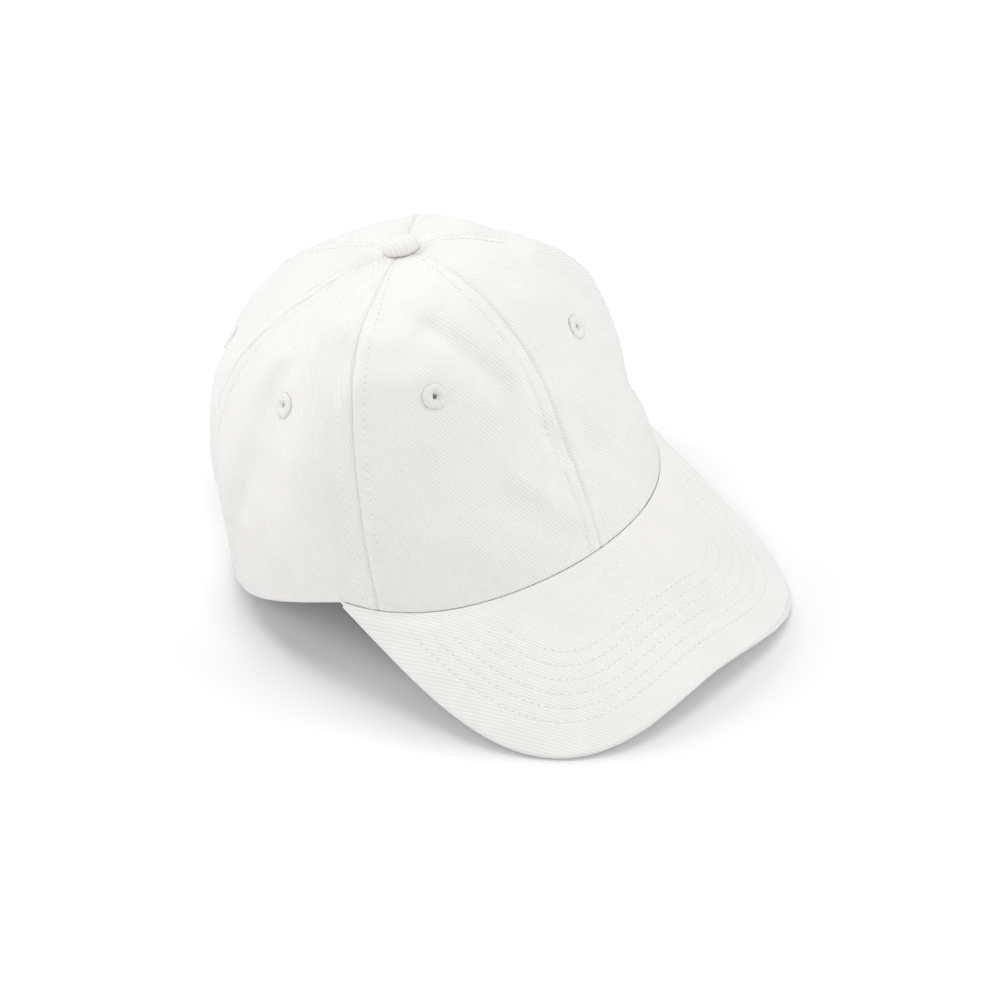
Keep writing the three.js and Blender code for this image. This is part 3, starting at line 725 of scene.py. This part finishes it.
# ---- Seam tapes ----
TAPE_NAMES = {"front": 0, "front_left": 62, "back_left": 121, "back": 180, "back_right": -121, "front_right": -62}
for k, (name, seam) in enumerate(TAPE_NAMES.items()):
    start = 4.0 if seam != 180 else OPEN_HEIGHT + 8
    top = float(arc_of(seam, top_v(np.array(float(seam)), 12.6)))
    arc = np.linspace(start, top, 90)[None]
    across = np.array([-6, -5.9, -5.4, -4.9, -4.5, -4.1, -3, -1.5, 0, 1.5, 3, 4.1, 4.5, 4.9, 5.4, 5.9, 6])[:, None]
    v0 = climb(np.full(arc.shape, float(seam)), arc)
    TH = seam + across / per_degree(np.full(arc.shape, float(seam)), v0)
    V = climb(TH, arc + 0 * across)
    p0 = crown(TH, V)
    bulge = 0.35 * np.cos(across / 6 * math.pi / 2) + 0.10 * noise(p0, 5, 3.3)
    groove = -0.16 * np.exp(-((np.abs(across) - 4.5) / 0.4) ** 2)
    edge = np.maximum(np.abs(across) - 5.5, 0) ** 2 * 0.5
    far = skin(TH, V, -(1.75 + 0 * bulge))
    near_face = skin(TH, V, -(2.3 + bulge + groove - edge))
    verts, faces, used = shell(far, near_face)
    uv = np.stack([across + 0 * arc, arc + 0 * across], -1).reshape(-1, 2)
    ob = make("tape_" + name, verts, faces, M_TAPE, uv=twice(uv, used))
    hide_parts("seam_tape_" + name)
    ob["flat"] = [0.012, float(top - start) * 0.001]
    for s in (4, 12):
        th_row, v_row = TH[s], V[s]
        path = near_face[s]
        add_row("tapes", path[2:-2], -skin_normal(th_row, v_row)[2:-2], seed=200 + k * 2 + s, pitch=2.9)

# ---- Visor ----
YT = -(FRONT + 0.5) * math.cos(HALF_VISOR * RAD)
XT = (HALF_WIDTH + 0.5) * math.sin(HALF_VISOR * RAD)


def sup(u, w, l, n):
    s, c = np.sin(u * math.pi / 2), np.cos(u * math.pi / 2)
    return w * np.sign(s) * np.abs(s) ** (2 / n), YT - l * np.abs(c) ** (2 / n)


def visor_normal(x, y):
    return unit(np.stack([x / np.sqrt(BEND_R ** 2 - x * x), -DROP + 0 * x, 1 + 0 * x], -1))


ROWS = [(82.8 - 4.75 * k, 98.65 - 3.95 * k, 3.27 + 0.14 * k) for k in range(6)]


def row_groove(x, y):
    out = np.zeros(np.shape(x))
    for w, l, n in ROWS:
        X, Y = np.abs(x) / w, np.maximum(YT - y, 0.01) / l
        f = X ** n + Y ** n - 1
        g = np.hypot(n * X ** (n - 1) / w, n * Y ** (n - 1) / l * 0.76)
        out += np.exp(-(f / np.maximum(g, 1e-6) / 0.62) ** 2)
    return out


def visor_face(x, y, depth, relief=0.0):
    z = visor_z(x, y)
    p = np.stack([x, y, z], -1)
    return p + visor_normal(x, y) * (relief - depth)[..., None]


VISOR_T = 3.4
u_st = 0.9985 * np.sin(np.linspace(-1, 1, 261) * math.pi / 2)
dense = np.linspace(-0.9995, 0.9995, 4001)
dx, dy = sup(dense, XT + 0.25, VISOR_LENGTH - 0.2, SQUARENESS)
# the rim as worn: fuller along the wearer's right side, slacker at the other corner
RIM_AT = [-1, -.95, -.9, -.8, -.7, -.65, -.6, -.5, -.4, -.3, -.2, -.1, 0, .1, .2, .3, .4, .5, .6, .7, .8, .9, 1]
RIM_OUT = [1.4, 1.9, 2.1, 2.2, 1.9, 1.6, 1.0, .1, -.5, -1.1, -1.1, -.6, -.2,
           -1.0, -2.4, -3.2, -2.9, -2.0, -.6, .7, 1.3, 1.0, .1]
bulge = np.interp(dense, RIM_AT, RIM_OUT)
bulge = np.convolve(np.pad(bulge, 250, mode="edge"), np.hanning(501) / np.hanning(501).sum(), mode="valid")
dp = np.stack([dx, dy, visor_z(dx, dy)], -1)
dt = unit(np.gradient(dp, axis=0))
dn = visor_normal(dx, dy)
inw = unit(np.cross(dn, dt))
if inw[2000, 1] < 0:
    inw = -inw
dp = dp - inw * bulge[:, None]
dp[:, 2] = visor_z(dp[:, 0], dp[:, 1])
rim = np.stack([np.interp(u_st, dense, dp[:, k]) for k in range(3)], -1)
rin = unit(np.stack([np.interp(u_st, dense, inw[:, k]) for k in range(3)], -1))
rnn = unit(np.stack([np.interp(u_st, dense, dn[:, k]) for k in range(3)], -1))
# both ends of the visor run a little way on round the hem
on = ease((-u_st - .93) / .07) + 0.4 * ease((u_st - .93) / .07)
rim[:, 1] += 2.8 * on
rim[:, 2] = visor_z(rim[:, 0], rim[:, 1])
hem_at = (u_st * HALF_VISOR + np.sign(u_st) * 1.9 * on) * RAD
hx, hy = (HALF_WIDTH + 0.1) * np.sin(hem_at), -(FRONT + 0.1) * np.cos(hem_at)
reach = np.hypot(rim[:, 0] - hx, rim[:, 1] - hy)
bull = np.minimum(1.75, reach * 0.4)
inset = rim + rin * bull[:, None]


def visor_cover(low):
    n = 130
    t = np.concatenate([[0, .006, .013, .022], np.linspace(.032, 1, n)])
    x = hx[:, None] + (inset[:, 0] - hx)[:, None] * t
    y = hy[:, None] + (inset[:, 1] - hy)[:, None] * t
    p = np.stack([x, y, visor_z(x, y)], -1)
    relief = -0.20 * row_groove(x, y) + 0.10 * noise(p, 9, 1.7) + 0.06 * noise(p, 3.5, 4.4) + 0.16 * noise(p, 26, 7)
    near_hem = reach[:, None] * t
    if low:
        face = visor_face(x, y, VISOR_T + 0 * x, -relief * 0.8)
        back = visor_face(x, y, VISOR_T - 0.6 + 0 * x)
    else:
        tuck = (0.15 + 0.3 * ease((np.abs(u_st)[:, None] - .6) / .3)) * (1 - ease(near_hem / 1.6))
        tuck = tuck + 0.30 * np.exp(-((near_hem - 5) / 2.5) ** 2)
        face = visor_face(x, y, 0 * x, relief + tuck)
        back = visor_face(x, y, 0.6 + 0 * x, np.minimum(tuck, 0))
    rows_f, rows_b = [], []
    mid = VISOR_T / 2
    for k in range(1, 9):
        a = k / 8 * math.pi / 2
        notch = 0.35 * (k / 8) ** 8
        for r, rows, m in ((bull, rows_f, mid), (bull - 0.45 * np.minimum(bull / 1.75, 1), rows_b, mid - 0.6)):
            out = -rin * (r * math.sin(a) - notch)[:, None]
            drop = (mid - m) + m * (1 - math.cos(a)) * (0.985 if rows is rows_f else 0.98)
            up = -drop if not low else -(VISOR_T - drop)
            rows.append(inset + out + rnn * up)
    edge = relief[:, -1]
    f_rows = np.stack(rows_f, 1)
    fade = np.linspace(0.9, 0, 8)[None, :, None]
    f_rows = f_rows + rnn[:, None] * (edge[:, None, None] * fade) * (-0.8 if low else 1)
    face = np.concatenate([face, f_rows], 1)
    back = np.concatenate([back, np.stack(rows_b, 1)], 1)
    on_by = np.arange(1, 9)[None] * 0.33
    uv = np.stack([np.concatenate([x, x[:, -1:] - rin[:, :1] * on_by], 1),
                   np.concatenate([y * 1.3, y[:, -1:] * 1.3 - rin[:, 1:2] * on_by], 1)], -1).reshape(-1, 2)
    return face, back, uv


for low, name in ((False, "top"), (True, "under")):
    face, back, uv = visor_cover(low)
    verts, faces, used = shell(face, back)
    ob = make("visor_cloth_" + name, verts, faces, M_VISOR_LOW if low else M_VISOR, uv=twice(uv, used))
    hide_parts("visor_%s_cover" % name)

# the crescent both covers are cut as, measured round the bend and down the slope
out_t = np.linspace(0, 1, 60)
crescent = visor_face(hx[:, None] + (rim[:, 0] - hx)[:, None] * out_t, hy[:, None] + (rim[:, 1] - hy)[:, None] * out_t,
                      np.zeros((len(hx), 60)))
across, down = crescent[1:, 1:] - crescent[:-1, :-1], crescent[1:, :-1] - crescent[:-1, 1:]

for k, (w, l, n) in enumerate(ROWS):
    uu = np.linspace(-1, 1, 3001)
    x, y = sup(uu, w, l, n)
    outside = (x / (HALF_WIDTH + 1.5)) ** 2 + (y / (FRONT + 1.5)) ** 2 > 1
    ok = outside & (y < YT)
    x, y = x[ok], y[ok]
    p = np.stack([x, y, visor_z(x, y)], -1)
    noise_top = 0.10 * noise(p, 9, 1.7) + 0.06 * noise(p, 3.5, 4.4) + 0.16 * noise(p, 26, 7)
    nn = visor_normal(x, y)
    add_row("visor_top", visor_face(x, y, 0 * x, -0.16 + noise_top), nn, seed=300 + k, pitch=3.05)
    add_row("visor_under", visor_face(x, y, VISOR_T + 0 * x, 0.13 - 0.8 * noise_top), -nn, seed=320 + k, pitch=3.05)

# ---- Sweatband, its stitch rows and the label ----
def band_depth(th):
    return 2.7 + (5.4 - 2.7) * ease((np.abs(wrap(th)) - 98) / 32)


SWEAT_REACH = 180 - OPEN_ANGLE - 0.5
st = np.linspace(-SWEAT_REACH, SWEAT_REACH, 420)[:, None]
hh = np.concatenate([[1.5, 1.7, 2.2, 3.0, 3.5, 4.0, 4.6], np.linspace(6, 28, 12),
                     [29.2, 29.8, 30.2, 30.6, 31.5, 32.3, 32.8, 33]])[None]
TH, H = np.broadcast_arrays(st, hh)
V = climb(TH, H)
p0 = crown(TH, V)
wr = 0.16 * noise(np.stack([TH * 1.6, H * 0.25, 0 * TH], -1), 4.5) + 0.12 * noise(p0, 14, 6.6)
wr += -0.22 * np.exp(-((H - 3.5) / 0.45) ** 2) - 0.22 * np.exp(-((H - 30.2) / 0.45) ** 2)
rounded = 0.45 * (np.maximum(1 - (H - 1.5) / 1.0, 0) ** 2 + np.maximum(1 - (33 - H) / 1.0, 0) ** 2)
far = skin(TH, V, -band_depth(TH) - rounded * 0.5)
near_face = skin(TH, V, -(band_depth(TH) + 1.2 + wr - rounded))
verts, faces, used = shell(far, near_face)
uv = np.stack([TH * 1.62, H + 0 * TH], -1).reshape(-1, 2)
sweat = make("sweatband_cloth", verts, faces, M_SWEAT, uv=twice(uv, used))
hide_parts("sweatband")
for j, h in ((4, 3.5), (21, 30.2)):
    th_row = st[2:-2, 0]
    v_row = climb(th_row, np.full(th_row.shape, h))
    add_row("sweatband", near_face[2:-2, j], -crown_normal(th_row, v_row), seed=400 + j, pitch=3.2)

th_l, h_l = np.broadcast_arrays(np.linspace(126, 140, 40)[:, None], np.linspace(8, 26, 24)[None])
v_l = climb(th_l, h_l)
curl = 0.25 * noise(np.stack([th_l, h_l, 0 * h_l], -1), 6.0)
far = skin(th_l, v_l, -(band_depth(th_l) + 1.2 + 0.32 + 0 * curl))
near_face = skin(th_l, v_l, -(band_depth(th_l) + 1.2 + 0.7 + np.abs(curl)))
verts, faces, used = shell(far, near_face)
label = make("care_label_satin", verts, faces, M_LABEL)
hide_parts("care_label")
add_row("label", near_face[2:-2, -3], -crown_normal(th_l[2:-2, -3], v_l[2:-2, -3]), seed=450, pitch=2.4, r=0.15)

# ---- Binding of the back opening ----
turn = np.linspace(2.0, 178.0, 220) * RAD
pdg = (HALF_WIDTH + BACK) * 0.5 * RAD
ex, ey = OPEN_ANGLE * np.cos(turn), OPEN_HEIGHT * np.sin(turn)
ow = unit(np.stack([np.cos(turn) * OPEN_HEIGHT, np.sin(turn) * OPEN_ANGLE * pdg], -1))
# a strip folded over the edge, from its outer turned-in edge round to its inner one
section = np.array([
    (6.0, .45, 1), (5.7, .66, 1), (5.2, .62, 1), (4.8, .50, 1), (4.5, .60, 1), (3.8, .72, 1), (2.4, .82, .6),
    (.9, .84, .2), (0, .80, 0), (-.45, .62, 0), (-.72, .25, 0), (-.82, -.2, 0), (-.85, -.8, 0), (-.75, -1.3, 0),
    (-.55, -1.7, 0), (-.1, -2.0, 0), (.6, -2.12, .2), (2.4, -2.15, .6), (4.2, -2.08, 1), (4.8, -1.95, 1),
    (5.3, -2.08, 1), (5.8, -2.0, 1)])
along = unit(np.gradient(section[:, :2], axis=0))
inward = np.stack([along[:, 1], -along[:, 0]], -1)
inward *= np.sign((inward * (np.array([2.5, -.65]) - section[:, :2])).sum(-1))[:, None]
inward[8] = unit(inward[7] + inward[9])
sides = []
for thick in (0.0, 0.4):
    rings = []
    for (away, depth, amp), (ia, idp) in zip(section, inward):
        a_, d_ = away + ia * thick, depth + idp * thick
        th = 180 - ex - (ow[:, 0] * a_) / pdg
        h = np.maximum(ey + ow[:, 1] * a_, 0.0)
        ripple = amp * 0.14 * noise(np.stack([turn * 60, 0 * turn + away * .4, 0 * turn], -1), 3.0)
        rings.append(skin(th, climb(th, h), d_ + ripple * (1 if depth > -0.7 else -1)))
    sides.append(np.stack(rings, 1))
rings = sides[0]
verts, faces, used = shell(rings, sides[1])
strip = np.concatenate([[0], np.cumsum(np.linalg.norm(np.diff(section[:, :2], axis=0), axis=1))])
uv = np.stack(np.broadcast_arrays((turn * 50)[:, None], strip[None]), -1).reshape(-1, 2)
bind = make("opening_binding_cloth", verts, faces, M_BINDING, uv=twice(uv, used))
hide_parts("opening_binding")
for j, sgn in ((3, 1), (19, -1)):
    away = section[j][0]
    th = 180 - ex - (ow[:, 0] * away) / pdg
    h = np.maximum(ey + ow[:, 1] * away, 0.0)
    add_row("binding", rings[3:-3, j], sgn * crown_normal(th, climb(th, h))[3:-3], seed=470 + j, pitch=2.7)

# ---- Button ----
apex = np.array([0, APEX_Y, APEX_Z]) + np.array(PUSHES[0][3])
pr = np.array([(1.2, 0.2), (4.0, 0.0), (6.4, 0.1), (7.2, .45), (7.6, 1.2), (7.6, 2.2), (7.3, 3.3), (6.65, 4.3),
               (5.6, 5.15), (4.3, 5.75), (2.85, 6.12), (1.4, 6.3), (.05, 6.36)])
s = np.concatenate([[0], np.cumsum(np.linalg.norm(np.diff(pr, axis=0), axis=1))])
ss = np.linspace(0, s[-1], 42)
pr = np.stack([np.interp(ss, s, pr[:, 0]), np.interp(ss, s, pr[:, 1])], -1)
aa = np.linspace(0, 2 * math.pi, 120, endpoint=False)


def lathe(profile):
    return np.stack([np.stack([r * np.cos(aa), r * np.sin(aa), 0 * aa + z], -1) for r, z in profile], 0)


ring = lathe(pr)
fold = noise(np.stack([np.cos(aa) * 3.2, np.sin(aa) * 3.2, 0 * aa], -1), 1.0, 3.0)
amt = np.exp(-((pr[:, 1] - 0.9) / 0.9) ** 2) * (pr[:, 0] > 5.5)
ring = ring * (1 + (0.035 * fold[None, :, None] * amt[:, None, None]))
ring += unit(ring + 1e-6) * (0.09 * noise(ring, 2.4, 4.0))[..., None] * ease(pr[:, 0] / 3)[:, None, None]
verts, faces = tube_grid(ring + apex)
uv = np.concatenate([(ring[..., :2]).reshape(-1, 2), np.zeros((2, 2))])
button = make("button_cloth", verts, faces, M_BUTTON, uv=uv)
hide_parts("top_button")

rp = np.array([(.05, -2.6), (2, -2.62), (4.4, -2.55), (5.4, -2.4), (5.9, -2.1), (6, -1.9), (5.8, -1.75),
               (4, -1.7), (1.5, -1.7), (1.4, -1.5), (1.4, 1.7), (1.2, 1.9), (.05, 1.9)])
verts, faces = tube_grid(lathe(rp) + apex)
rivet = make("button_rivet_pressed", verts, faces, M_STEEL, angle=35)
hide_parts("top_button_rivet")

# ---- Strap, tab and buckle, bent round the back of the hem ----
def bent(x, r, z, turned=0.0):
    """x runs round the back towards the wearer's left, r is the distance from the hub."""
    a = np.asarray(x, float) / STRAP_R
    px, py = r * np.sin(a), r * np.cos(a)
    c, s_ = math.cos(turned), math.sin(turned)
    return np.stack([px * c - py * s_, px * s_ + py * c + (BACK - BACK_R), z + 0 * px], -1)


def web(name, centre, t, z0, z1, mat, body, turned, seed, rows):
    """Flat webbing along a line of (x, r) points, with rounded edges, a slight crown and stitch rows."""
    line, _ = resample(np.asarray(centre, float), 0.9)
    tan = unit(np.gradient(line, axis=0))
    nor = np.stack([-tan[:, 1], tan[:, 0]], -1)
    h = z1 - z0
    near_edge = np.array([0, .15, .5, 1.0, 1.5, 1.9, 2.4])
    zs = np.concatenate([near_edge, np.linspace(3.2, h - 3.2, 9), h - near_edge[::-1]])
    edge = np.clip(np.minimum(zs, h - zs) / 0.6, 0, 1)
    rnd = np.sqrt(np.maximum(1 - (1 - edge) ** 2, 0))
    groove = sum(np.exp(-((zs - q) / 0.35) ** 2) for q in rows)
    wav = noise(np.stack(np.broadcast_arrays(line[:, :1] * 0.5, zs[None] * 0.6, 0 * zs[None]), -1), 3.0, seed * 0.31)
    half = t / 2 * (0.25 + 0.75 * rnd)[None] - 0.13 * groove[None] + 0.04 * wav
    X = line[:, 0][:, None] + 0 * zs[None]
    R = line[:, 1][:, None] + 0 * zs[None]
    out = bent(X + nor[:, :1] * half, R + nor[:, 1:] * half, z0 + zs[None], turned)
    inn = bent(X - nor[:, :1] * half, R - nor[:, 1:] * half, z0 + zs[None], turned)
    verts, faces, used = shell(out, inn)
    d = np.concatenate([[0], np.cumsum(np.linalg.norm(np.diff(line, axis=0), axis=1))])
    uv = np.stack(np.broadcast_arrays(d[:, None], zs[None]), -1).reshape(-1, 2)
    ob = make(name, verts, faces, mat, body=body, uv=twice(uv, used))
    for q in rows:
        j = int(np.argmin(np.abs(zs - q)))
        for face, other in ((out, inn), (inn, out)):
            add_row(body + "_" + name, face[3:-3, j], unit(face[3:-3, j] - other[3:-3, j]), seed=seed + j, pitch=2.7)
    return ob, float(d[-1])


arc_x = lambda deg: -deg * RAD * STRAP_R
xs = np.linspace(arc_x(36), arc_x(-40), 160)
strap, strap_len = web("strap_web", np.stack([xs, 0 * xs + STRAP_R - 0.5], -1), 1.0, 3.5, 22.5, M_STRAP,
                       "strap", 0.0, 500, (1.9, 17.1))
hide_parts("strap")
bar0, bar1 = -13.5, -12.0
ri, ro = STRAP_R + 0.4 + 0.35, STRAP_R + 0.4 + 1.8 + 0.7 + 0.35
curve = [(-38, ri), (-30, ri), (-22, ri), (-14, ri)]
for k in range(0, 9):
    a = -90 + k * 22.5
    curve.append((bar1 + 0.75 + 0.6 * math.cos(a * RAD), (ri + ro) / 2 + (ro - ri) / 2 * math.sin(a * RAD)))
curve += [(bar0 - 1.0, ro - 0.02), (bar0 - 2.6, ro - 0.7), (bar0 - 4.6, ri + 0.95), (bar0 - 9, ri + 0.78),
          (-32, ri + 0.75)]
tab, tab_len = web("tab_web", curve, 0.7, 3.7, 22.3, M_STRAP, "cap", BUCKLE_TURN, 540, (1.9, 16.7))
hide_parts("buckle_tab")


def cad_node(name):
    found = frame["nodes"][name]
    return found if isinstance(found, bpy.types.Object) else bpy.data.objects[name]


def bevelled(name, node_name, mat, body, width=0.00022):
    src = cad_node(node_name)
    ob = bpy.data.objects.new(name, src.data.copy())
    bpy.context.scene.collection.objects.link(ob)
    ob.matrix_world = src.matrix_world.copy()
    ob.data.materials.clear()
    ob.data.materials.append(mat)
    bpy.context.view_layer.objects.active = ob
    w = ob.modifiers.new("weld", "WELD")
    w.merge_threshold = 1e-6
    m = ob.modifiers.new("bevel", "BEVEL")
    m.width, m.segments, m.limit_method, m.angle_limit = width, 3, "ANGLE", 40 * RAD
    m.harden_normals = False
    dg = bpy.context.evaluated_depsgraph_get()
    new = bpy.data.meshes.new_from_object(ob.evaluated_get(dg))
    ob.modifiers.clear()
    ob.data = new
    new.polygons.foreach_set("use_smooth", np.full(len(new.polygons), True))
    new.set_sharp_from_angle(angle=32 * RAD)
    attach(ob, body)
    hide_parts(node_name)
    return ob


bevelled("buckle_frame_cast", "buckle_frame", M_BRASS, "cap")
bevelled("buckle_lever_cast", "buckle_lever", M_BRASS, "buckle_lever")


def finish_node(name, mat):
    ob = cad_node(name)
    if not ob.material_slots:
        ob.data.materials.append(mat)
    for slot in ob.material_slots:
        slot.material = mat


finish_node("buckle_pin", M_STEEL)
finish_node("visor_board", M_BOARD)

# ---- Threads, and needle holes drawn as darker studs of painted shade ----
for group, parts in threads.items():
    body = "strap" if group.startswith("strap_") else "cap"
    v, f = merge(parts)
    make("thread_" + group, v, f, M_THREAD, body=body)
    v, f = merge(holes[group])
    make("needle_holes_" + group, v, f, M_HOLE_SHADE, body=body)

# ---- Floor, light and camera ----
scene = bpy.context.scene
scene.view_settings.view_transform = "Standard"
scene.view_settings.look = "None"

me = bpy.data.meshes.new("floor")
FLOOR = 6.0
me.from_pydata([(-FLOOR, -FLOOR, 0), (FLOOR, -FLOOR, 0), (FLOOR, FLOOR, 0), (-FLOOR, FLOOR, 0)], [], [(0, 1, 2, 3)])
floor = bpy.data.objects.new("floor", me)
scene.collection.objects.link(floor)
floor_mat = bpy.data.materials.new("floor")
floor_mat.use_nodes = True
fb = floor_mat.node_tree.nodes["Principled BSDF"]
fb.inputs["Base Color"].default_value = (0.93, 0.93, 0.93, 1)
fb.inputs["Roughness"].default_value = 0.95
fb.inputs["Specular IOR Level"].default_value = 0.0
me.materials.append(floor_mat)

world = bpy.data.worlds.new("studio")
world.use_nodes = True
world.node_tree.nodes["Background"].inputs[0].default_value = (1, 1, 1, 1)
world.node_tree.nodes["Background"].inputs[1].default_value = 0.22
scene.world = world


def area(name, direction, distance, size, energy, look=(0, 0, 0.05)):
    light = bpy.data.lights.new(name, "AREA")
    light.shape, light.size, light.energy = "DISK", size, energy
    ob = bpy.data.objects.new(name, light)
    scene.collection.objects.link(ob)
    d = Vector(direction).normalized()
    ob.location = Vector(look) + d * distance
    ob.rotation_mode = "QUATERNION"
    ob.rotation_quaternion = (-d).to_track_quat("-Z", "Y")
    return ob


AZ, EL = -49.1 * RAD, 36.24 * RAD
back = Vector((math.sin(AZ) * math.cos(EL), -math.cos(AZ) * math.cos(EL), math.sin(EL)))
right = Vector((math.cos(AZ), math.sin(AZ), 0))
up = back.cross(right)
flat_back = Vector((math.sin(AZ), -math.cos(AZ), 0))
high = Vector((0, 0, 1))
LIGHT_AWAY = 2.6
for light_name, where, size, power in (("top", high, 1.6, 18.5), ("behind", high * .7 - flat_back * .9, 1.6, 6.0),
                                       ("behind_left", high * .75 - flat_back * .65 - right * .65, 1.0, 16.5),
                                       ("behind_right", high * .75 - flat_back * .65 + right * .65, 1.6, 9.0),
                                       ("left", high * .6 - right, 1.4, 19.0), ("right", high * .5 + right, 1.6, 20.5),
                                       ("front", high * .6 + flat_back * .9, 1.6, 21.0)):
    area(light_name, where, LIGHT_AWAY, size, power)

# A long lens, aimed a little off the middle of the cap.
CAMERA_AWAY, CAMERA_RIGHT, CAMERA_UP = 1.6, 0.02073, -0.01810
target = Vector((0, 0.02294, 0.05))
cam_data = bpy.data.cameras.new("camera")
cam_data.sensor_width, cam_data.lens = 36, 138.85
cam_data.clip_start, cam_data.clip_end = 0.05, 50
cam = bpy.data.objects.new("camera", cam_data)
scene.collection.objects.link(cam)
cam.location = target + back * CAMERA_AWAY + right * CAMERA_RIGHT + up * CAMERA_UP
cam.rotation_mode = "QUATERNION"
cam.rotation_quaternion = (-back).to_track_quat("-Z", "Y")
scene.camera = cam

# ---- What each soft piece was cut from ----
TAPE_ON = {"tape_front": (0, 1), "tape_front_left": (1, 2), "tape_back_left": (2, 3),
           "tape_back": (3, 4), "tape_back_right": (4, 5), "tape_front_right": (5, 0)}
for ob in list(bpy.data.objects):
    if ob.name.startswith("panel_"):
        w, h = ob["flat"]
    elif ob.name in TAPE_ON:
        w, h = ob["flat"]
